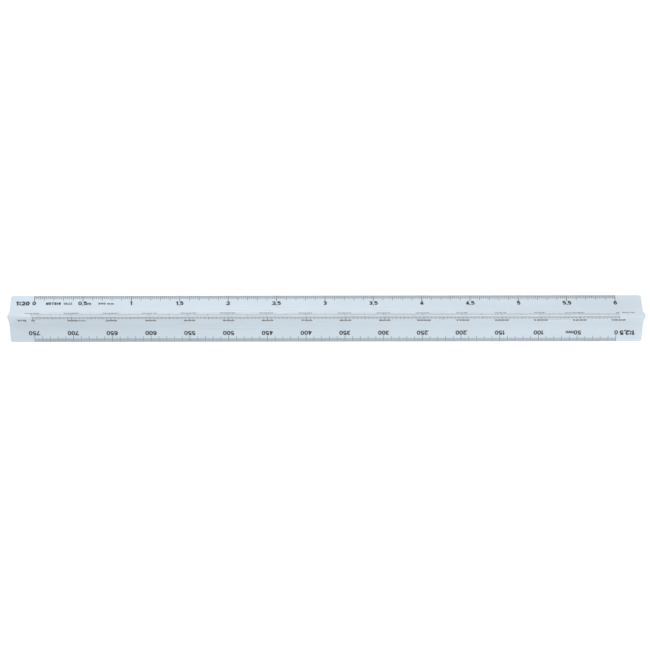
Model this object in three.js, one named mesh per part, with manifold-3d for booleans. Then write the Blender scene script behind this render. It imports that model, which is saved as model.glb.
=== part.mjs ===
// Triangular scale ruler: a one-piece white polystyrene bar with a three-armed
// fluted section and six printed scales, two on each arm.
//
// Frame: millimetres, +X along the bar, +Z up out of the ridge, origin on the
// surface the bar rests on, under the middle of the bar. The bar lies on one of
// its three faces, so one edge (the ridge) points up and the other two run
// along the base at +Y and -Y.
//
// Section: each arm tapers outwards to a blunt 1.2 mm edge with a rounded nose. Its
// two flanks are flat and carry the scales. The flanks of neighbouring arms
// meet in a wide rounded valley, so each face is a shallow flute.

import * as THREE from "three";
import { mergeVertices } from "three/addons/utils/BufferGeometryUtils.js";
import Module from "manifold-3d";

// ---- driving dimensions (mm, degrees) ----
const BAR_LENGTH = 326; // over the end faces
const SCALE_LENGTH = 300; // every scale is 300 mm long
const ARM_REACH = 13.56; // section centre to the end of an arm
const EDGE_HALF = 0.62; // half the thickness of an arm at its edge
const FLANK_ANGLE = 12; // each flank against its arm's middle plane
const LAND_WIDTH = 0.4; // narrow flat along each edge, in the plane of a face
const NOSE_RADIUS = 0.3; // rounding between land and edge face
const VALLEY_RADIUS = 7; // rounding at the bottom of a flute
const VALLEY_STEPS = 8;
const NOSE_STEPS = 3;
const END_CORNER = 1.3; // rounding of each arm's corners at the two ends
const END_CORNER_STEPS = 6;

const INK_GAP = 0.03; // print held just clear of the flank
const INK_THICK = 0.05;
const INK_EDGE = 0.35; // printing starts this far in from the land
const INK_RAIL = 0.1; // thin line that ties a scale's marks together at the edge
const INK_LINE = 0.16; // width of a division mark

const rad = (d) => (d * Math.PI) / 180;
const SIN = Math.sin(rad(FLANK_ANGLE)),
  COS = Math.cos(rad(FLANK_ANGLE));

// ---- the section, as one outline in the Y-Z plane ----
// The arm's own axes: s runs along the arm from the section centre, t across it.
// Half of one arm, from the middle of its edge face round to the valley.
function halfArm() {
  // The land is the cut of the arm's corner by the plane of the face, which
  // stands at 30 degrees to the arm.
  const cut = LAND_WIDTH / (1 / Math.tan(rad(60)) + 1 / Math.tan(rad(30 - FLANK_ANGLE)));
  const corner = [ARM_REACH, EDGE_HALF];
  const onEdge = [ARM_REACH, EDGE_HALF - cut / Math.sin(rad(60))];
  const back = cut / Math.sin(rad(30 - FLANK_ANGLE));
  const onFlank = [corner[0] - back * COS, corner[1] + back * SIN];
  const points = [];
  // Nose rounding between the edge face and the land, which meet at 60 degrees.
  const reach = Math.min(NOSE_RADIUS * Math.tan(rad(30)), onEdge[1] * 0.95, LAND_WIDTH * 0.4);
  const r = reach / Math.tan(rad(30));
  const centre = [ARM_REACH - r, onEdge[1] - reach];
  for (let i = 0; i <= NOSE_STEPS; i++) {
    const a = rad((60 * i) / NOSE_STEPS);
    points.push([centre[0] + r * Math.cos(a), centre[1] + r * Math.sin(a)]);
  }
  points.push(onFlank);
  // Valley: tangent to this flank and, by symmetry, to the next arm's.
  // The valley's middle lies on the ray at 60 degrees to the arm.
  const t60 = Math.tan(rad(60));
  // flank: t = EDGE_HALF + (ARM_REACH - s) * tan(FLANK_ANGLE); ray: t = s * tan60
  const k = Math.tan(rad(FLANK_ANGLE));
  const sv = (EDGE_HALF + ARM_REACH * k) / (t60 + k);
  const vertex = [sv, sv * t60];
  const turn = 30 - FLANK_ANGLE; // each flank turns this much at the valley
  const tangent = VALLEY_RADIUS * Math.tan(rad(turn));
  const start = [vertex[0] + tangent * COS, vertex[1] - tangent * SIN];
  const axis = [start[0] + VALLEY_RADIUS * SIN, start[1] + VALLEY_RADIUS * COS];
  for (let i = 0; i <= VALLEY_STEPS / 2; i++) {
    // from the flank's own direction round to the face's direction
    const a = rad(270 - FLANK_ANGLE - (turn * i) / (VALLEY_STEPS / 2));
    points.push([
      axis[0] + VALLEY_RADIUS * Math.cos(a),
      axis[1] + VALLEY_RADIUS * Math.sin(a),
    ]);
  }
  return { points, onFlank };
}

const half = halfArm();
// The outline, anticlockwise seen from +X, from the arm that points at `deg`.
const centreZ = (() => {
  // height of the section centre: the land of a base arm lies in z = 0
  const [s, t] = half.onFlank;
  return s * Math.sin(rad(30)) + t * Math.cos(rad(30));
})();
function toSection(s, t, deg) {
  const c = Math.cos(rad(deg)),
    d = Math.sin(rad(deg));
  return [s * c - t * d, s * d + t * c + centreZ];
}
function outline() {
  const pts = [];
  for (const deg of [90, 210, 330]) {
    const mirrored = half.points.map(([s, t]) => [s, -t]).reverse();
    // the valley's middle point belongs to both neighbours, so one copy is dropped
    for (const [s, t] of mirrored.slice(1)) pts.push(toSection(s, t, deg));
    for (const [s, t] of half.points) pts.push(toSection(s, t, deg));
  }
  return pts;
}

const wasm = await Module();
wasm.setup();
const toSolid = (geometry) => {
  const g = geometry.clone();
  g.deleteAttribute("normal");
  g.deleteAttribute("uv");
  const m = mergeVertices(g, 1e-4);
  return new wasm.Manifold(
    new wasm.Mesh({
      numProp: 3,
      vertProperties: new Float32Array(m.attributes.position.array),
      triVerts: new Uint32Array(m.index.array),
    }),
  );
};
const toGeometry = (solid) => {
  const m = solid.getMesh();
  const g = new THREE.BufferGeometry();
  g.setAttribute("position", new THREE.BufferAttribute(new Float32Array(m.vertProperties), 3));
  g.setIndex(new THREE.BufferAttribute(new Uint32Array(m.triVerts), 1));
  const flat = g.toNonIndexed();
  flat.computeVertexNormals();
  return flat;
};

// An outline in (Y, Z) drawn as a shape and pushed along X, centred on X = 0.
function alongX(points, length) {
  const shape = new THREE.Shape(points.map(([y, z]) => new THREE.Vector2(y, z)));
  const g = new THREE.ExtrudeGeometry(shape, { depth: length, bevelEnabled: false });
  // extrude runs along +Z: (x, y, z) -> (z, x, y) keeps the handedness
  g.translate(0, 0, -length / 2);
  g.applyMatrix4(new THREE.Matrix4().set(0, 0, 1, 0, 1, 0, 0, 0, 0, 1, 0, 0, 0, 0, 0, 1));
  return g;
}

// A drum about the bar's middle line, flat over each arm and rounded at both
// ends, which rounds the arms' corners.
function endDrum() {
  const r = ARM_REACH + 0.6;
  const reach = ARM_REACH,
    h = BAR_LENGTH / 2;
  const profile = [new THREE.Vector2(0, -h)];
  const flat = Math.cos(rad(5)); // the drum's faces lie at their middles, not their corners
  const push = (rr, x) => profile.push(new THREE.Vector2(rr / flat, x));
  for (let i = 0; i <= END_CORNER_STEPS; i++) {
    const a = rad((90 * i) / END_CORNER_STEPS);
    push(reach - END_CORNER + END_CORNER * Math.sin(a), -h + END_CORNER - END_CORNER * Math.cos(a));
  }
  push(r, -h + END_CORNER + 0.6);
  push(r, h - END_CORNER - 0.6);
  for (let i = END_CORNER_STEPS; i >= 0; i--) {
    const a = rad((90 * i) / END_CORNER_STEPS);
    push(reach - END_CORNER + END_CORNER * Math.sin(a), h - END_CORNER + END_CORNER * Math.cos(a));
  }
  profile.push(new THREE.Vector2(0, h));
  const g = new THREE.LatheGeometry(profile, 36, rad(5), Math.PI * 2);
  // lathe turns about +Y: lay it along +X, about the section's centre
  g.applyMatrix4(new THREE.Matrix4().set(0, 1, 0, 0, 0, 0, 1, 0, 1, 0, 0, 0, 0, 0, 0, 1));
  g.translate(0, 0, centreZ);
  return g;
}

function rulerBody() {
  const bar = toSolid(alongX(outline(), BAR_LENGTH));
  const drum = toSolid(endDrum());
  return toGeometry(bar.intersect(drum));
}

// ---- printed scales ----
// One scale on one flank: a thin comb whose teeth are the main division marks.
// u runs along the scale from its zero, v inwards from the edge.
function scaleComb(step, labelStep, mark, label) {
  const n = Math.round(SCALE_LENGTH / step);
  const half = INK_LINE / 2;
  const pts = [[-half, INK_EDGE]];
  for (let i = 0; i <= n; i++) {
    const u = i * step;
    const isLabel = Math.abs(u / labelStep - Math.round(u / labelStep)) < 1e-6;
    const v = isLabel ? label : mark;
    if (i > 0) pts.push([u - half, INK_EDGE + INK_RAIL]);
    pts.push([u - half, v], [u + half, v]);
    if (i < n) pts.push([u + half, INK_EDGE + INK_RAIL]);
  }
  pts.push([SCALE_LENGTH + half, INK_EDGE]);
  const shape = new THREE.Shape(pts.map(([u, v]) => new THREE.Vector2(u, v)));
  return new THREE.ExtrudeGeometry(shape, { depth: INK_THICK, bevelEnabled: false });
}

// The scales: which arm, which of its flanks (side +1 is anticlockwise of the
// arm seen from +X), the spacing of the main marks and of the numbered marks.
const MARK = 3.4,
  LABEL_MARK = 4.2;
const SCALES = [
  { name: "scale_print_1_20", arm: 330, side: 1, step: 5, label: 25 },
  { name: "scale_print_1_10", arm: 90, side: -1, step: 5, label: 20 },
  { name: "scale_print_1_5", arm: 90, side: 1, step: 10, label: 20 },
  { name: "scale_print_1_2_5", arm: 210, side: -1, step: 4, label: 20 },
  { name: "scale_print_1_50", arm: 210, side: 1, step: 10, label: 20 },
  { name: "scale_print_1_100", arm: 330, side: -1, step: 5, label: 10 },
];

const white = new THREE.MeshStandardMaterial({ color: 0xd9e6ee, roughness: 0.38, metalness: 0 });
const ink = new THREE.MeshStandardMaterial({ color: 0x23262b, roughness: 0.55, metalness: 0 });

const ruler = new THREE.Group();
const body = new THREE.Mesh(rulerBody(), white);
body.name = "ruler_body";
ruler.add(body);

for (const scale of SCALES) {
  const comb = new THREE.Mesh(scaleComb(scale.step, scale.label, MARK, LABEL_MARK), ink);
  comb.name = scale.name;
  // the flank's own axes in the section: inwards from the edge, and outwards from the surface
  const [s, t] = half.onFlank;
  const c = Math.cos(rad(scale.arm)),
    d = Math.sin(rad(scale.arm));
  const turned = (a, b) => [a * c - b * d, a * d + b * c];
  const [oy, oz] = toSection(s, t * scale.side, scale.arm);
  const [iy, iz] = turned(-COS, SIN * scale.side);
  const [ny, nz] = turned(SIN, COS * scale.side);
  const inward = new THREE.Vector3(0, iy, iz);
  const normal = new THREE.Vector3(0, ny, nz);
  // the scale reads left to right with its edge uppermost
  const reading = new THREE.Vector3().crossVectors(inward, normal);
  reading.negate();
  const along = reading.clone();
  // a right-handed set: u along +-X, v inwards, w outwards
  const m = new THREE.Matrix4();
  const origin = new THREE.Vector3(0, oy, oz)
    .addScaledVector(along, -SCALE_LENGTH / 2)
    .addScaledVector(normal, INK_GAP);
  if (new THREE.Vector3().crossVectors(along, inward).dot(normal) > 0) {
    m.makeBasis(along, inward, normal);
  } else {
    // turn the comb over in its own plane so that the set stays right-handed
    comb.geometry.applyMatrix4(new THREE.Matrix4().makeRotationY(Math.PI));
    comb.geometry.translate(SCALE_LENGTH, 0, INK_THICK);
    const back = along.clone().negate();
    origin.addScaledVector(along, SCALE_LENGTH);
    m.makeBasis(back, inward, normal);
  }
  m.setPosition(origin);
  m.decompose(comb.position, comb.quaternion, comb.scale);
  ruler.add(comb);
}

export default ruler;
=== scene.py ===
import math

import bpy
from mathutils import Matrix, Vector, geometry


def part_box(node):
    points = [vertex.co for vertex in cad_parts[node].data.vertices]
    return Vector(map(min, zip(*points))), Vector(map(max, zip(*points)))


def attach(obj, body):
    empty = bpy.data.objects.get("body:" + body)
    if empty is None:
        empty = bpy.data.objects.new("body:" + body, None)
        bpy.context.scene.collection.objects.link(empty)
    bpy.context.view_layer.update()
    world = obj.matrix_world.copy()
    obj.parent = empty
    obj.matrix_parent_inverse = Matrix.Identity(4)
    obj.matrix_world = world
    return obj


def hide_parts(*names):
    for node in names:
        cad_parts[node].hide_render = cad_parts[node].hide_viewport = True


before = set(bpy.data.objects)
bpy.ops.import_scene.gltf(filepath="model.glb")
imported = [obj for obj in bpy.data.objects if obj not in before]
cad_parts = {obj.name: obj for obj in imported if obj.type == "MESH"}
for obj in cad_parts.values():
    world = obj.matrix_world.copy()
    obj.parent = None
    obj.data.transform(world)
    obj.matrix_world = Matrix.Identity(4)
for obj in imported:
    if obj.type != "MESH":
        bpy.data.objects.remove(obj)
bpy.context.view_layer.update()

# A triangular scale ruler of white polystyrene, lying on one face with its
# ridge up: one extruded bar with six printed scales. Millimetres are used for
# the shape and turned into metres where the meshes are made.

MM = 0.001

# ---- the bar's shape, as in the CAD model (mm, degrees) ----
BODY_LOW, BODY_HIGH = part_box("ruler_body")
LENGTH = (BODY_HIGH[0] - BODY_LOW[0]) / MM
REACH = 13.56         # section centre to the end of an arm
EDGE_HALF = 0.62      # half an arm's thickness at its edge
FLANK = 12.0          # flank against the arm's middle plane
LAND = 0.40           # narrow flat along each edge
NOSE = 0.30           # rounding of the edges
VALLEY = 7.0          # rounding at the bottom of a flute
END_ROUND = 1.3       # rounding of the arms' corners at the ends
END_BREAK = 0.14      # the sharp rim of the end face is just broken

TAN = math.tan(math.radians(FLANK))
SIN = math.sin(math.radians(FLANK))
COS = math.cos(math.radians(FLANK))
CUT = LAND / (1 / math.tan(math.radians(60)) + 1 / math.tan(math.radians(30 - FLANK)))
BACK = CUT / math.sin(math.radians(30 - FLANK))
ON_FLANK = (REACH - BACK * COS, EDGE_HALF + BACK * SIN)
CENTRE_Z = ON_FLANK[0] * 0.5 + ON_FLANK[1] * math.cos(math.radians(30))


def line_hit(p, d, q, e):
    """Where the line through p along d meets the line through q along e."""
    cross = d[0] * e[1] - d[1] * e[0]
    k = ((q[0] - p[0]) * e[1] - (q[1] - p[1]) * e[0]) / cross
    return (p[0] + k * d[0], p[1] + k * d[1])


def half_arm(reach, inset):
    """Half of one arm's outline, from the middle of its edge to the middle of
    the valley, in the arm's own axes (s along the arm, t across it). The
    outline is pulled inwards by inset."""
    r = NOSE
    flank_dir = (-COS, SIN)
    flank_in = (-SIN, -COS)
    land_dir = (-math.cos(math.radians(30)), 0.5)
    land_in = (-0.5, -math.cos(math.radians(30)))
    # the three lines moved inwards by the rounding's radius
    edge_p = (reach - r, 0.0)
    land_p = (ON_FLANK[0] + land_in[0] * r, ON_FLANK[1] + land_in[1] * r)
    flank_p = (ON_FLANK[0] + flank_in[0] * r, ON_FLANK[1] + flank_in[1] * r)
    c1 = line_hit(edge_p, (0, 1), land_p, land_dir)
    c2 = line_hit(land_p, land_dir, flank_p, flank_dir)
    if c2[0] > c1[0]:
        c1 = c2 = line_hit(edge_p, (0, 1), flank_p, flank_dir)
    pts = [(reach - inset, 0.0)]
    q = r - inset
    for i in range(9):
        a = math.radians(60 * i / 8)
        pts.append((c1[0] + q * math.cos(a), c1[1] + q * math.sin(a)))
    for i in range(4):
        a = math.radians(60 + (30 - FLANK) * i / 3)
        pts.append((c2[0] + q * math.cos(a), c2[1] + q * math.sin(a)))
    # the valley
    t60 = math.tan(math.radians(60))
    sv = (EDGE_HALF + REACH * TAN) / (t60 + TAN)
    tangent = VALLEY * math.tan(math.radians(30 - FLANK))
    start = (sv + tangent * COS, sv * t60 - tangent * SIN)
    axis = (start[0] + VALLEY * SIN, start[1] + VALLEY * COS)
    big = VALLEY + inset
    first = (axis[0] - big * SIN, axis[1] - big * COS)
    last = pts[-1]
    for i in range(1, 7):
        k = i / 7
        pts.append((last[0] + (first[0] - last[0]) * k, last[1] + (first[1] - last[1]) * k))
    for i in range(13):
        a = math.radians(270 - FLANK - (30 - FLANK) * i / 12)
        pts.append((axis[0] + big * math.cos(a), axis[1] + big * math.sin(a)))
    return pts


def to_section(s, t, deg):
    c, d = math.cos(math.radians(deg)), math.sin(math.radians(deg))
    return (s * c - t * d, s * d + t * c + CENTRE_Z)


def outline(reach, inset):
    half = half_arm(reach, inset)
    pts = []
    for deg in (90, 210, 330):
        for s, t in reversed(half[1:-1]):
            pts.append(to_section(s, -t, deg))
        for s, t in half:
            pts.append(to_section(s, t, deg))
    return pts


def make_mesh(name, verts, faces, smooth=None, slots=None):
    me = bpy.data.meshes.new(name)
    me.from_pydata(verts, [], faces)
    if smooth:
        me.polygons.foreach_set("use_smooth", smooth)
    if slots:
        me.polygons.foreach_set("material_index", slots)
    me.validate()
    me.update()
    ob = bpy.data.objects.new(name, me)
    bpy.context.scene.collection.objects.link(ob)
    return ob


def end_stations():
    """Distances from an end face at which the bar gets a section."""
    out = [END_BREAK * (1 - math.cos(math.radians(15 * i))) for i in range(7)]
    e = [END_ROUND * (1 - math.cos(math.radians(90 * i / 14))) for i in range(15)]
    out += [v for v in e if v > END_BREAK * 1.15]
    return out + [1.9, 3.2, 5.5, 9.0]


def at_end(e):
    """How far the arms reach, and how much the outline is inset, at a distance
    e from an end face."""
    reach, inset = REACH, 0.0
    if e < END_ROUND:
        reach = REACH - END_ROUND + math.sqrt(max(0.0, END_ROUND ** 2 - (END_ROUND - e) ** 2))
    if e < END_BREAK:
        inset = END_BREAK - math.sqrt(max(0.0, END_BREAK ** 2 - (END_BREAK - e) ** 2))
    return reach, inset


def build_bar():
    ends = end_stations()
    xs = [(-LENGTH / 2 + e, e) for e in ends]
    middle = LENGTH - 2 * ends[-1]
    n = 40
    xs += [(-LENGTH / 2 + ends[-1] + middle * i / n, 99.0) for i in range(1, n)]
    xs += [(LENGTH / 2 - e, e) for e in reversed(ends)]
    verts, faces, smooth, slots = [], [], [], []
    count = None
    for x, e in xs:
        ring = outline(*at_end(e))
        count = len(ring)
        verts += [(x * MM, y * MM, z * MM) for y, z in ring]
    for k in range(len(xs) - 1):
        for i in range(count):
            j = (i + 1) % count
            a, b = k * count, (k + 1) * count
            faces.append((a + i, a + j, b + j, b + i))
            smooth.append(True)
            slots.append(0)
    for k, x, flip in ((0, -LENGTH / 2, True), (len(xs) - 1, LENGTH / 2, False)):
        hub = len(verts)
        verts.append((x * MM, 0.0, CENTRE_Z * MM))
        base = k * count
        for i in range(count):
            j = (i + 1) % count
            tri = (hub, base + i, base + j)
            faces.append(tri[::-1] if flip else tri)
            smooth.append(False)
            slots.append(1)
    return make_mesh("ruler_bar", verts, faces, smooth, slots)


# ---- lettering: plain strokes of an even width ----

def arc(cx, cy, rx, ry, a0, a1, n=10):
    return [
        (
            cx + rx * math.cos(math.radians(a0 + (a1 - a0) * i / n)),
            cy + ry * math.sin(math.radians(a0 + (a1 - a0) * i / n)),
        )
        for i in range(n + 1)
    ]


def stroke_quads(points, width, closed=False):
    """The stroke along points as a row of four-sided cells with mitred joints."""
    pts = [points[0]]
    for p in points[1:]:
        if math.dist(p, pts[-1]) > 1e-4:
            pts.append(p)
    if closed and math.dist(pts[0], pts[-1]) < 1e-4:
        pts.pop()
    n, h = len(pts), width / 2

    def direction(a, b):
        d = math.dist(a, b)
        return ((b[0] - a[0]) / d, (b[1] - a[1]) / d)

    left, right = [], []
    for i, p in enumerate(pts):
        before = direction(pts[i - 1], p) if (i or closed) else None
        after = direction(p, pts[(i + 1) % n]) if (i < n - 1 or closed) else None
        a = before or after
        b = after or before
        na, nb = (-a[1], a[0]), (-b[1], b[0])
        m = (na[0] + nb[0], na[1] + nb[1])
        k = h * 2 / max(m[0] ** 2 + m[1] ** 2, 0.55)
        left.append((p[0] + m[0] * k, p[1] + m[1] * k))
        right.append((p[0] - m[0] * k, p[1] - m[1] * k))
    cells = []
    for i in range(n if closed else n - 1):
        j = (i + 1) % n
        cells.append([right[i], right[j], left[j], left[i]])
    return cells


def glyph_strokes(ch, w, t):
    """The strokes of one character with cap height 1: w is a digit's width and
    t the line width. Gives ([(points, closed)], advance)."""
    x0, x1, y0, y1, xm = t / 2, w - t / 2, t / 2, 1 - t / 2, w / 2
    rx = (x1 - x0) / 2
    gap = GAP
    if ch == "0":
        ry = 0.31
        loop = arc(xm, y1 - ry, rx, ry, 0, 180, 14) + arc(xm, y0 + ry, rx, ry, 180, 360, 14)
        return [(loop, True)], w + gap
    if ch == "1":
        xv = 0.27 + t * 0.25
        return [([(xv, 0), (xv, 1)], False), ([(xv - 0.26, 0.72), (xv, 0.90)], False)], xv + t / 2 + gap + 0.04
    if ch == "2":
        path = arc(xm, y1 - 0.27, rx, 0.27, 168, -28, 14) + [(x0 + 0.01, y0), (w, y0)]
        return [(path, False)], w + gap
    if ch == "3":
        ym = 0.515
        up = arc(xm, (y1 + ym) / 2, rx * 0.94, (y1 - ym) / 2, 160, -90, 14) + [(xm - 0.1, ym)]
        low = [(xm - 0.1, ym)] + arc(xm, (ym + y0) / 2, rx, (ym - y0) / 2, 90, -160, 14)
        return [(up, False), (low, False)], w + gap
    if ch == "4":
        xv = w - 0.13 - t / 2
        return [
            ([(xv, 0), (xv, 1)], False),
            ([(xv, 0.96), (x0 + 0.015, 0.27), (w + 0.01, 0.27)], False),
        ], w + gap
    if ch == "5":
        bowl = arc(xm, (0.62 + y0) / 2, rx, (0.62 - y0) / 2, 145, -160, 16)
        return [([(x1, y1), (x0 + 0.03, y1), (x0 + 0.03, 0.46)], False), (bowl, False)], w + gap
    if ch in "69":
        ry = (0.61 - y0) / 2
        loop = arc(xm, y0 + ry, rx, ry, 0, 360, 24)
        stem = [(x0, y0 + ry - 0.02), (x0, y1 - 0.32)] + arc(xm, y1 - 0.32, rx, 0.32, 180, 38, 12)
        strokes = [(loop, True), (stem, False)]
        if ch == "9":
            strokes = [([(w - x, 1 - y) for x, y in p], c) for p, c in strokes]
        return strokes, w + gap
    if ch == "7":
        return [([(0, y1), (x1 - 0.01, y1), (w * 0.36, 0)], False)], w + gap
    if ch == "8":
        ym = 0.515
        up = arc(xm, (y1 + ym) / 2, rx * 0.9, (y1 - ym) / 2, 0, 360, 20)
        low = arc(xm, (ym + y0) / 2, rx, (ym - y0) / 2, 0, 360, 20)
        return [(up, True), (low, True)], w + gap
    if ch == ",":
        return [([(t * 0.52, t * 0.75), (t * 0.26, -0.10)], False)], t * 0.85 + 0.03
    if ch == ":":
        d = t * 1.15
        x = d / 2 + 0.01
        return [
            ([(x - d / 2, 0.16 + d / 2), (x + d / 2, 0.16 + d / 2)], False),
            ([(x - d / 2, 0.60 + d / 2), (x + d / 2, 0.60 + d / 2)], False),
        ], d + 0.02 + gap
    if ch == "m":
        a, xh = t / 2, 0.72 - t / 2
        r = t / 2 + 0.0625
        arch = lambda x: arc(x + r, xh - 0.17, r, 0.17, 180, 0, 10) + [(x + 2 * r, 0)]
        return [
            ([(a, 0), (a, 0.72)], False),
            ([(a, 0.36)] + arch(a), False),
            ([(a + 2 * r, 0.36)] + arch(a + 2 * r), False),
        ], 4 * r + t + gap
    if ch == "M":
        return [
            ([(x0, 0), (x0, 1)], False),
            ([(w + 0.12 - t / 2, 0), (w + 0.12 - t / 2, 1)], False),
            ([(x0, 1 - t * 0.6), ((w + 0.12) / 2, 0.30), (w + 0.12 - t / 2, 1 - t * 0.6)], False),
        ], w + 0.12 + gap
    if ch == "E":
        return [
            ([(w * 0.92, y1), (x0, y1), (x0, y0), (w * 0.92, y0)], False),
            ([(x0, 0.52), (w * 0.86, 0.52)], False),
        ], w * 0.92 + gap
    if ch == "T":
        return [([(0, y1), (w, y1)], False), ([(xm, 0), (xm, 1)], False)], w + gap
    if ch == "R":
        bowl = [(x0, y1), (xm, y1)] + arc(xm, (y1 + 0.48) / 2, rx, (y1 - 0.48) / 2, 90, -90, 12)
        bowl += [(x0, 0.48)]
        return [([(x0, 0), (x0, 1)], False), (bowl, False), ([(xm, 0.48), (x1 + 0.01, 0)], False)], w + gap
    if ch == "I":
        return [([(x0, 0), (x0, 1)], False)], t + gap
    if ch == "C":
        path = arc(xm, y1 - 0.33, rx, 0.33, 35, 180, 12) + arc(xm, y0 + 0.33, rx, 0.33, 180, 325, 12)
        return [(path, False)], w + gap
    if ch == "S":
        ym = 0.51
        path = arc(xm, (y1 + ym) / 2, rx, (y1 - ym) / 2, 25, 250, 14)
        path += arc(xm, (ym + y0) / 2, rx, (ym - y0) / 2, 70, -155, 14)
        return [(path, False)], w + gap
    if ch == "A":
        xa = (w + 0.06) / 2
        return [
            ([(t * 0.4, 0), (xa, 1 - t * 0.3), (w + 0.06 - t * 0.4, 0)], False),
            ([(t * 0.9, 0.30), (w + 0.06 - t * 0.9, 0.30)], False),
        ], w + 0.06 + gap
    if ch == "L":
        return [([(x0, 1), (x0, y0), (w * 0.9, y0)], False)], w * 0.9 + gap
    if ch == " ":
        return [], 0.32
    raise ValueError("no character " + ch)


GLYPHS = {}


def glyph(ch, w, t):
    """One character as a flat shape without overlaps: corners, triangles, rim."""
    key = (ch, w, t)
    if key in GLYPHS:
        return GLYPHS[key]
    strokes, advance = glyph_strokes(ch, w, t)
    verts, faces = [], []
    width = t * {":": 1.15, ",": 0.8}.get(ch, 1)
    for points, closed in strokes:
        for cell in stroke_quads(points, width, closed):
            base = len(verts)
            verts += [Vector(p) for p in cell]
            faces.append([base, base + 1, base + 2, base + 3])
    flat, tris, rim = [], [], []
    if faces:
        out = geometry.delaunay_2d_cdt(verts, [], faces, 0, 1e-5, True)
        flat = [(v.x, v.y) for v in out[0]]
        for face, inside in zip(out[2], out[5]):
            if not inside:
                continue
            a, b, c = (flat[i] for i in face)
            turn = (b[0] - a[0]) * (c[1] - a[1]) - (b[1] - a[1]) * (c[0] - a[0])
            if abs(turn) < 1e-9:
                continue
            tris.append(tuple(face) if turn > 0 else tuple(reversed(face)))
        edges = {(f[i], f[(i + 1) % 3]) for f in tris for i in range(3)}
        rim = [e for e in sorted(edges) if (e[1], e[0]) not in edges]
        used = sorted({i for f in tris for i in f})
        renumber = {old: new for new, old in enumerate(used)}
        flat = [flat[i] for i in used]
        tris = [tuple(renumber[i] for i in f) for f in tris]
        rim = [(renumber[a], renumber[b]) for a, b in rim]
    GLYPHS[key] = (flat, tris, rim, advance)
    return GLYPHS[key]


# ---- the printed scales ----
INK_TOP = 0.014       # the ink stands this far off the plastic, mm
INK_ROOT = -0.006     # and reaches just into it
LINE = 0.145          # width of a fine division line
DIGIT = 2.8           # cap height of the numbers
RATIO = 3.05          # and of the ratios
DIGIT_MID = 5.48      # height of the numbers' middle, measured from the strip's edge
EDGE_SKIP = 0.06      # gap between the land and a line on a face the bar lies on
BOLD = (0.70, 0.27)    # a digit's width and the line width, cap height 1
HEAVY = (0.62, 0.27)
LIGHT = (0.60, 0.24)
UNIT = (0.60, 0.205)
GAP = 0.04             # between two characters
UNIT_SIZE = 0.82      # the unit is lettered smaller than its number


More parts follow.
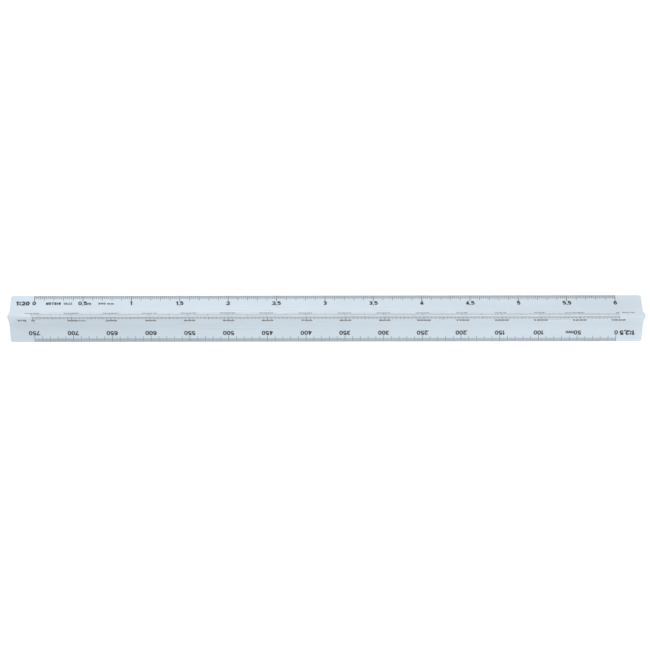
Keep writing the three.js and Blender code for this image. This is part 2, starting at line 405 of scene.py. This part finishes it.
class Print:
    """The ink of one scale: everything is laid out flat, u along the scale from
    its zero and v inwards from the strip's edge, and set on the flank."""

    def __init__(self, arm, side, register, over_edge):
        s, t = ON_FLANK[0], ON_FLANK[1] * side
        c, d = math.cos(math.radians(arm)), math.sin(math.radians(arm))
        turned = lambda a, b: Vector((0, a * c - b * d, a * d + b * c))
        self.inward = turned(-COS, SIN * side)
        self.normal = turned(SIN, COS * side)
        self.along = (-self.inward).cross(self.normal)
        y, z = to_section(s, t, arm)
        # register moves the whole print along +X by a little
        self.origin = Vector((register, y, z)) - self.along * 150
        self.verts, self.faces = [], []
        # the stations of a line past the end of the flank, (y, z) of the ink's
        # top and root in metres
        self.over_edge = None
        if over_edge:
            tops, roots = half_arm(REACH, -INK_TOP), half_arm(REACH, -INK_ROOT)
            at = lambda p: tuple(c * MM for c in to_section(p[0], p[1] * side, arm))
            # on the ridge the ink reaches further round than on the lower edges
            steps = (13, 12, 10, 9, 7, 5, 3, 2) if arm == 90 else (13, 12, 10, 9, 7, 5)
            self.over_edge = [(at(tops[i]), at(roots[i])) for i in steps]
        # which way round the faces of a line have to go
        self.flip = self.along.x > 0

    def place(self, u, v, w):
        p = self.origin + self.along * u + self.inward * v + self.normal * w
        return (p.x * MM, p.y * MM, p.z * MM)

    def plate(self, flat, tris, rim, at=lambda p: p):
        """A closed thin plate with the given flat outline."""
        base, n = len(self.verts), len(flat)
        for w in (INK_TOP, INK_ROOT):
            for p in flat:
                u, v = at(p)
                self.verts.append(self.place(u, v, w))
        # (u, v, w) is left-handed here: u along, v inwards, w outwards
        for a, b, c in tris:
            self.faces.append((base + a, base + b, base + c))
            self.faces.append((base + n + c, base + n + b, base + n + a))
        for a, b in rim:
            self.faces.append((base + b, base + a, base + n + a, base + n + b))

    def line(self, u, v1, width=LINE):
        """A division line. It runs from v1 on the flank to the edge: over the
        rounding, the land and the start of the nose, or on a face that the bar
        lies on only to just short of the land."""
        h = width / 2
        if self.over_edge is None:
            v0 = EDGE_SKIP
            # corners listed as a figure seen with the strip's edge uppermost
            flat = [(u - h, v1), (u + h, v1), (u + h, v0), (u - h, v0)]
            self.plate(flat, [(0, 1, 2), (0, 2, 3)], [(0, 1), (1, 2), (2, 3), (3, 0)])
            return
        x = self.origin.x + self.along.x * u
        stations = [(self.place(u, v1, INK_TOP)[1:], self.place(u, v1, INK_ROOT)[1:])]
        stations += self.over_edge
        base = len(self.verts)
        for top, root in stations:
            for dx, (y, z) in ((-h, top), (h, top), (h, root), (-h, root)):
                self.verts.append(((x + dx) * MM, y, z))
        last = base + 4 * (len(stations) - 1)
        faces = [(base, base + 1, base + 2, base + 3), (last + 3, last + 2, last + 1, last)]
        for k in range(base, last, 4):
            for j in range(4):
                i = (j + 1) % 4
                faces.append((k + j, k + 4 + j, k + 4 + i, k + i))
        self.faces += [f[::-1] for f in faces] if self.flip else faces

    def write(self, text, u, v_mid, height, weight, spacing=0.0, from_start=False):
        """Text with its middle, or its start, at u. Gives where the next character would go."""
        w, t = weight
        size = sum(glyph(c, w, t)[3] + spacing for c in text) - GAP - spacing
        start = u if from_start else u - size * height / 2
        foot = v_mid + height / 2
        for c in text:
            flat, tris, rim, advance = glyph(c, w, t)
            if tris:
                self.plate(flat, tris, rim, lambda p: (start + p[0] * height, foot - p[1] * height))
            start += (advance + spacing) * height
        return start

    def finish(self, name, node, material):
        ob = make_mesh(name, self.verts, self.faces, [False] * len(self.faces))
        ob.data.materials.append(material)
        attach(ob, "root")
        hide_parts(node)
        return ob


def divisions(pr, pitch, count, lengths):
    """lengths is [(every, length, width)], the coarsest first."""
    for i in range(count + 1):
        for every, length, width in lengths:
            if i % every == 0:
                pr.line(i * pitch, length, width)
                break


def numbers(pr, step_mm, values, unit_at, unit, middle, weight):
    for i, value in enumerate(values):
        end = pr.write(value, i * step_mm, middle, DIGIT, weight)
        if i == unit_at:
            # a little above the number's own baseline
            size = DIGIT * UNIT_SIZE
            v_mid = middle + (DIGIT - size) / 2 - 0.2
            pr.write(unit, end, v_mid, size, UNIT, from_start=True)


def comma(x):
    return ("%g" % x).replace(".", ",")


# name, node, arm, side, print register, pitch, count, marks, number step,
# numbers, unit, ratio text, ratio's place from the zero and from the numbers'
# middle, lettering moved inwards by, a digit's width and line width
SHORT, LONG, FULL = 2.15, 3.3, 4.0
SCALES = [
    ("marks_1_20", "scale_print_1_20", 330, 1, -0.66, 0.5, 600,
     [(50, FULL, 0.33), (10, LONG, 0.27), (2, 2.3, 0.25), (1, 1.95, 0.13)],
     25, [comma(i / 2) for i in range(13)], "m", "1:20", (-5.88, 0.06), 0.0, (0.68, 0.25)),
    ("marks_1_10", "scale_print_1_10", 90, -1, -0.7, 0.5, 600,
     [(40, FULL, 0.28), (20, 3.6, 0.24), (10, 3.1, 0.19), (2, 2.7, 0.155), (1, 2.4, 0.125)],
     20, [str(i * 200) for i in range(16)], "mm", "1:10", (-5.6, 0.0), 0.0, (0.67, 0.235)),
    ("marks_1_5", "scale_print_1_5", 90, 1, -0.2, 0.4, 750,
     [(50, FULL, 0.26), (25, 3.6, 0.24), (5, 3.2, 0.20), (1, 2.5, 0.12)],
     20, [str(i * 100) for i in range(16)], "mm", "1:5", (-5.8, 0.0), 0.3, (0.685, 0.26)),
    ("marks_1_2_5", "scale_print_1_2_5", 210, -1, -0.4, 0.4, 750,
     [(50, 3.85, 0.22), (10, 3.4, 0.19), (5, SHORT + 0.1, 0.14), (1, SHORT - 0.1, 0.125)],
     20, [str(i * 50) for i in range(16)], "mm", "1:2,5", (-5.75, -0.12), 0.08, (0.665, 0.22)),
    ("marks_1_50", "scale_print_1_50", 210, 1, 0.0, 0.4, 750,
     [(50, FULL, 0.27), (25, LONG, 0.22), (5, 2.7, 0.17), (1, SHORT, LINE)],
     20, [str(i) for i in range(16)], "m", "1:50", (-6.2, 0.0), 0.0, (0.665, 0.22)),
    ("marks_1_100", "scale_print_1_100", 330, -1, 0.0, 0.5, 600,
     [(20, FULL, 0.27), (10, LONG, 0.22), (2, 2.7, 0.18), (1, SHORT, 0.16)],
     10, [str(i) for i in range(31)], "m", "1:100", (-6.9, 0.0), 0.0, (0.665, 0.22)),
]


# ---- materials ----

class Nodes:
    def __init__(self, name):
        self.mat = bpy.data.materials.new(name)
        self.mat.use_nodes = True
        self.tree = self.mat.node_tree
        self.tree.nodes.clear()

    def add(self, kind, **settings):
        node = self.tree.nodes.new(kind)
        for key, value in settings.items():
            setattr(node, key, value)
        return node

    def link(self, a, b):
        self.tree.links.new(a, b)

    def math(self, op, a, b=None, c=None, clamp=False):
        node = self.add("ShaderNodeMath", operation=op, use_clamp=clamp)
        for i, v in enumerate((a, b, c)):
            if v is None:
                continue
            if isinstance(v, (int, float)):
                node.inputs[i].default_value = v
            else:
                self.link(v, node.inputs[i])
        return node.outputs[0]

    def noise(self, vector, stretch, detail=3.0, rough=0.55, rotate=(0, 0, 0), scale=1.0):
        place = self.add("ShaderNodeMapping")
        place.inputs["Scale"].default_value = stretch
        place.inputs["Rotation"].default_value = rotate
        self.link(vector, place.inputs["Vector"])
        tex = self.add("ShaderNodeTexNoise")
        tex.inputs["Scale"].default_value = scale
        tex.inputs["Detail"].default_value = detail
        tex.inputs["Roughness"].default_value = rough
        self.link(place.outputs[0], tex.inputs["Vector"])
        return tex.outputs[0]

    def ramp(self, value, low, high, out_low=0.0, out_high=1.0):
        node = self.add("ShaderNodeMapRange", clamp=True, interpolation_type="SMOOTHSTEP")
        self.link(value, node.inputs["Value"])
        for key, v in (("From Min", low), ("From Max", high), ("To Min", out_low), ("To Max", out_high)):
            node.inputs[key].default_value = v
        return node.outputs["Result"]

    def mix(self, factor, a, b):
        node = self.add("ShaderNodeMix", data_type="RGBA")
        self.link(factor, node.inputs[0])
        for socket, v in ((node.inputs[6], a), (node.inputs[7], b)):
            if isinstance(v, tuple):
                socket.default_value = (*v, 1.0)
            else:
                self.link(v, socket)
        return node.outputs[2]

    def bump(self, height, distance, strength=1.0, normal=None):
        node = self.add("ShaderNodeBump")
        node.inputs["Distance"].default_value = distance
        node.inputs["Strength"].default_value = strength
        self.link(height, node.inputs["Height"])
        if normal:
            self.link(normal, node.inputs["Normal"])
        return node.outputs[0]

    def principled(self, **values):
        out = self.add("ShaderNodeOutputMaterial")
        node = self.add("ShaderNodeBsdfPrincipled")
        self.link(node.outputs[0], out.inputs[0])
        for key, v in values.items():
            socket = node.inputs[key.replace("_", " ")]
            if isinstance(v, (int, float, tuple)):
                socket.default_value = v
            else:
                self.link(v, socket)
        return node


PLASTIC = (0.606, 0.690, 0.757)
PLASTIC_DEEP = (0.590, 0.675, 0.743)
# tone of worn edges; on the bar's edges it also serves as painted shade that darkens the ridge crest
PLASTIC_WORN_AND_SHADED = (0.550, 0.576, 0.590)


def radius_from_middle(n, position):
    """Distance from the section's centre, in metres."""
    parts = n.add("ShaderNodeSeparateXYZ")
    n.link(position, parts.inputs[0])
    y = n.math("MULTIPLY", parts.outputs[1], parts.outputs[1])
    dz = n.math("SUBTRACT", parts.outputs[2], CENTRE_Z * MM)
    z = n.math("MULTIPLY", dz, dz)
    return n.math("SQRT", n.math("ADD", y, z)), parts


def white_plastic():
    n = Nodes("white_polystyrene")
    pos = n.add("ShaderNodeTexCoord").outputs["Object"]
    radius, parts = radius_from_middle(n, pos)
    draw = n.noise(pos, (2.5, 700, 700), detail=4)                    # long faint flow lines
    fine = n.noise(pos, (30, 7000, 7000), detail=3)                   # fine die lines
    peel = n.noise(pos, (900, 900, 900), detail=2)                    # moulded skin
    cloud = n.noise(pos, (22, 60, 60), detail=4)                      # slow tone change
    rub_a = n.noise(pos, (22, 16000, 9000), detail=2, rotate=(0, 0.02, 0.10))
    rub_b = n.noise(pos, (35, 14000, 12000), detail=2, rotate=(0, -0.05, -0.32))
    where = n.noise(pos, (60, 260, 260), detail=2)
    hair_a = n.math("MULTIPLY", n.ramp(rub_a, 0.665, 0.70), n.ramp(where, 0.50, 0.62))
    hair_b = n.math("MULTIPLY", n.ramp(rub_b, 0.69, 0.72), n.ramp(where, 0.40, 0.30))
    hair = n.math("MAXIMUM", hair_a, hair_b)
    # darker, rougher edges along all three arms: handling wear, and painted shade that darkens the ridge crest
    grit = n.noise(pos, (420, 900, 900), detail=5, rough=0.7)
    edge = n.ramp(radius, 0.01285, 0.0135)
    edge_wear_and_shade = n.math("MULTIPLY", edge, n.ramp(grit, 0.47, 0.66))
    tone = n.mix(n.ramp(cloud, 0.36, 0.66), PLASTIC, PLASTIC_DEEP)
    # painted shade: the edge tone is mixed in more strongly than wear alone would give, to darken the ridge
    # crest
    tone = n.mix(n.math("MULTIPLY", edge_wear_and_shade, 0.45), tone, PLASTIC_WORN_AND_SHADED)
    tone = n.mix(n.math("MULTIPLY", hair, 0.20), tone, (0.520, 0.565, 0.600))
    rough = n.math("ADD", n.ramp(cloud, 0.35, 0.65, 0.28, 0.39), n.ramp(draw, 0.35, 0.65, -0.03, 0.04))
    rough = n.math("ADD", rough, n.math("MULTIPLY", hair, 0.18))
    rough = n.math("ADD", rough, n.math("MULTIPLY", edge_wear_and_shade, 0.22), clamp=True)
    bump = n.bump(draw, 0.00004, 0.5)
    bump = n.bump(peel, 0.000012, 0.35, bump)
    bump = n.bump(fine, 0.000003, 0.5, bump)
    bump = n.bump(n.math("SUBTRACT", 1.0, n.math("ADD", hair, edge_wear_and_shade)), 0.000006, 0.7, bump)
    n.principled(
        Base_Color=tone, Roughness=rough, Normal=bump, IOR=1.55,
        Subsurface_Weight=0.2, Subsurface_Radius=(1.0, 1.0, 1.0), Subsurface_Scale=0.0012,
    )
    return n.mat


def cut_plastic():
    """The end faces: the same plastic, sawn off and dressed."""
    n = Nodes("white_polystyrene_cut")
    pos = n.add("ShaderNodeTexCoord").outputs["Object"]
    cloud = n.noise(pos, (200, 200, 200), detail=4)
    saw = n.noise(pos, (1, 190, 2100), detail=5, rough=0.62, rotate=(0.42, 0, 0))
    grain = n.noise(pos, (4000, 4000, 4000), detail=3)
    radius, parts = radius_from_middle(n, pos)
    rim = n.ramp(radius, 0.0122, 0.0135)
    tone = n.mix(n.ramp(cloud, 0.35, 0.65), (0.640, 0.700, 0.742), (0.610, 0.668, 0.710))
    tone = n.mix(n.ramp(saw, 0.50, 0.68, 0.0, 0.42), tone, (0.745, 0.790, 0.820))
    tone = n.mix(n.math("MULTIPLY", rim, 0.25), tone, PLASTIC_WORN_AND_SHADED)
    rough = n.math("ADD", n.ramp(cloud, 0.35, 0.65, 0.48, 0.58), n.ramp(saw, 0.4, 0.7, 0.0, 0.10))
    bump = n.bump(saw, 0.00004, 0.8)
    bump = n.bump(grain, 0.000006, 0.4, bump)
    n.principled(
        Base_Color=tone, Roughness=rough, Normal=bump, IOR=1.55,
        Subsurface_Weight=0.2, Subsurface_Radius=(1.0, 1.0, 1.0), Subsurface_Scale=0.0012,
    )
    return n.mat


def printing_ink():
    n = Nodes("printing_ink")
    pos = n.add("ShaderNodeTexCoord").outputs["Object"]
    body = n.noise(pos, (500, 500, 500), detail=3)
    pores = n.noise(pos, (9000, 9000, 9000), detail=2)
    rubbed = n.noise(pos, (70, 700, 700), detail=4)
    tone = n.mix(n.ramp(body, 0.35, 0.65), (0.018, 0.021, 0.027), (0.032, 0.036, 0.044))
    tone = n.mix(n.ramp(pores, 0.64, 0.74, 0.0, 0.35), tone, (0.17, 0.19, 0.21))
    tone = n.mix(n.ramp(rubbed, 0.62, 0.80, 0.0, 0.30), tone, (0.12, 0.135, 0.15))
    rough = n.math("ADD", n.ramp(body, 0.35, 0.65, 0.40, 0.50), n.ramp(rubbed, 0.5, 0.8, 0.0, 0.15))
    bump = n.bump(pores, 0.000003, 0.5)
    n.principled(Base_Color=tone, Roughness=rough, Normal=bump, IOR=1.5)
    return n.mat


# ---- the ruler ----
plastic, cut, ink = white_plastic(), cut_plastic(), printing_ink()

bar = build_bar()
bar.data.materials.append(plastic)
bar.data.materials.append(cut)
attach(bar, "root")
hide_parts("ruler_body")

for (name, node, arm, side, register, pitch, count, marks, step, values, unit,
     ratio, ratio_at, shift, weight) in SCALES:
    # the two scales underneath stop short of the lands that the bar lies on
    pr = Print(arm, side, register, node not in ("scale_print_1_50", "scale_print_1_100"))
    divisions(pr, pitch, count, marks)
    numbers(pr, step, values, 1, unit, DIGIT_MID + shift, weight)
    pr.write(ratio, ratio_at[0], DIGIT_MID + shift + ratio_at[1], RATIO, BOLD)
    if node == "scale_print_1_20":
        # plain wording that any metric scale could carry
        pr.write("METRIC", 9.95, DIGIT_MID + 0.2, 1.9, HEAVY, spacing=0.08)
        pr.write("SCALE", 17.35, DIGIT_MID + 0.2, 1.65, (0.49, 0.19), spacing=0.03)
        pr.write("300 mm", 37.0, DIGIT_MID + 0.2, 1.5, (0.79, 0.275), spacing=0.10)
    pr.finish(name, node, ink)


# ---- floor, lights, camera ----
def floor_material():
    n = Nodes("floor_white")
    out = n.add("ShaderNodeOutputMaterial")
    shade = n.add("ShaderNodeBsdfDiffuse")
    shade.inputs["Color"].default_value = (0.86, 0.86, 0.86, 1)
    glow = n.add("ShaderNodeEmission")
    glow.inputs["Color"].default_value = (1, 1, 1, 1)
    glow.inputs["Strength"].default_value = 0.294
    both = n.add("ShaderNodeAddShader")
    n.link(shade.outputs[0], both.inputs[0])
    n.link(glow.outputs[0], both.inputs[1])
    # seen from underneath the floor is clear, so the underside can be looked at
    clear = n.add("ShaderNodeBsdfTransparent")
    side = n.add("ShaderNodeNewGeometry")
    mix = n.add("ShaderNodeMixShader")
    n.link(side.outputs["Backfacing"], mix.inputs[0])
    n.link(both.outputs[0], mix.inputs[1])
    n.link(clear.outputs[0], mix.inputs[2])
    n.link(mix.outputs[0], out.inputs[0])
    return n.mat


floor = make_mesh(
    "studio_floor",
    [(-4, -4, -0.00005), (4, -4, -0.00005), (4, 4, -0.00005), (-4, 4, -0.00005)],
    [(0, 1, 2, 3)],
)
floor.data.materials.append(floor_material())


def area_light(name, where, towards, size, watts, colour):
    data = bpy.data.lights.new(name, "AREA")
    data.shape = "SQUARE"
    data.size = size
    data.energy = watts
    data.color = colour
    ob = bpy.data.objects.new(name, data)
    ob.location = where
    ob.rotation_mode = "QUATERNION"
    ob.rotation_quaternion = (Vector(towards) - Vector(where)).to_track_quat("-Z", "Y")
    ob.visible_camera = False
    bpy.context.scene.collection.objects.link(ob)
    return ob


MIDDLE = (0, 0, 0.008)
area_light("key", (-0.447, 0.264, 0.80), MIDDLE, 0.20, 3.345, (1, 1, 1))
area_light("top", (0.0, 0.0, 2.2), MIDDLE, 1.0, 7.6, (1, 1, 1))
area_light("side_back", (0.0, 0.5, 0.25), MIDDLE, 0.5, 0.539, (1, 1, 1))
area_light("side_front", (0.15, -0.5, 0.2), MIDDLE, 0.3, 0.172, (1, 1, 1))
area_light("fill", (0.25, -0.25, 0.5), MIDDLE, 0.3, 1.143, (1, 1, 1))

world = bpy.data.worlds.new("studio")
world.use_nodes = True
# a pale tent: bright walls round the table and a dimmer roof
tree = world.node_tree
sky = tree.nodes["Background"]
sky.inputs["Color"].default_value = (1, 1, 1, 1)
spot = tree.nodes.new("ShaderNodeTexCoord")
split = tree.nodes.new("ShaderNodeSeparateXYZ")
fade = tree.nodes.new("ShaderNodeValToRGB")
fade.color_ramp.elements[0].position, fade.color_ramp.elements[0].color = 0.24, (0.95, 0.95, 0.95, 1)
fade.color_ramp.elements[1].position, fade.color_ramp.elements[1].color = 0.72, (0.20, 0.20, 0.20, 1)
step_between = fade.color_ramp.elements.new(0.42)
step_between.color = (0.30, 0.30, 0.30, 1)
tree.links.new(spot.outputs["Generated"], split.inputs[0])
tree.links.new(split.outputs[2], fade.inputs[0])
tree.links.new(fade.outputs[0], sky.inputs["Strength"])
bpy.context.scene.world = world

scene = bpy.context.scene
scene.view_settings.view_transform = "Standard"
scene.view_settings.look = "None"
scene.view_settings.exposure = 0.0
scene.view_settings.gamma = 1.0

# The camera looks down almost square to the surface, from the front side.
CAM_AIM = Vector((-0.00064, -0.00329, 0.0))
CAM_DISTANCE = 1.45
CAM_LENS = 155.13
tilt, roll, yaw = math.radians(90 - 86.098), math.radians(-0.103), math.radians(-0.443)
turn = Matrix.Rotation(yaw, 3, "Y") @ Matrix.Rotation(tilt, 3, "X") @ Matrix.Rotation(roll, 3, "Z")
camera_data = bpy.data.cameras.new("camera")
camera_data.type = "PERSP"
camera_data.sensor_fit = "HORIZONTAL"
camera_data.sensor_width = 36.0
camera_data.lens = CAM_LENS
camera_data.clip_start, camera_data.clip_end = 0.05, 50.0
camera = bpy.data.objects.new("camera", camera_data)
camera.rotation_mode = "QUATERNION"
camera.rotation_quaternion = turn.to_quaternion()
camera.location = CAM_AIM + turn @ Vector((0, 0, CAM_DISTANCE))
scene.collection.objects.link(camera)
scene.camera = camera

bpy.context.view_layer.update()
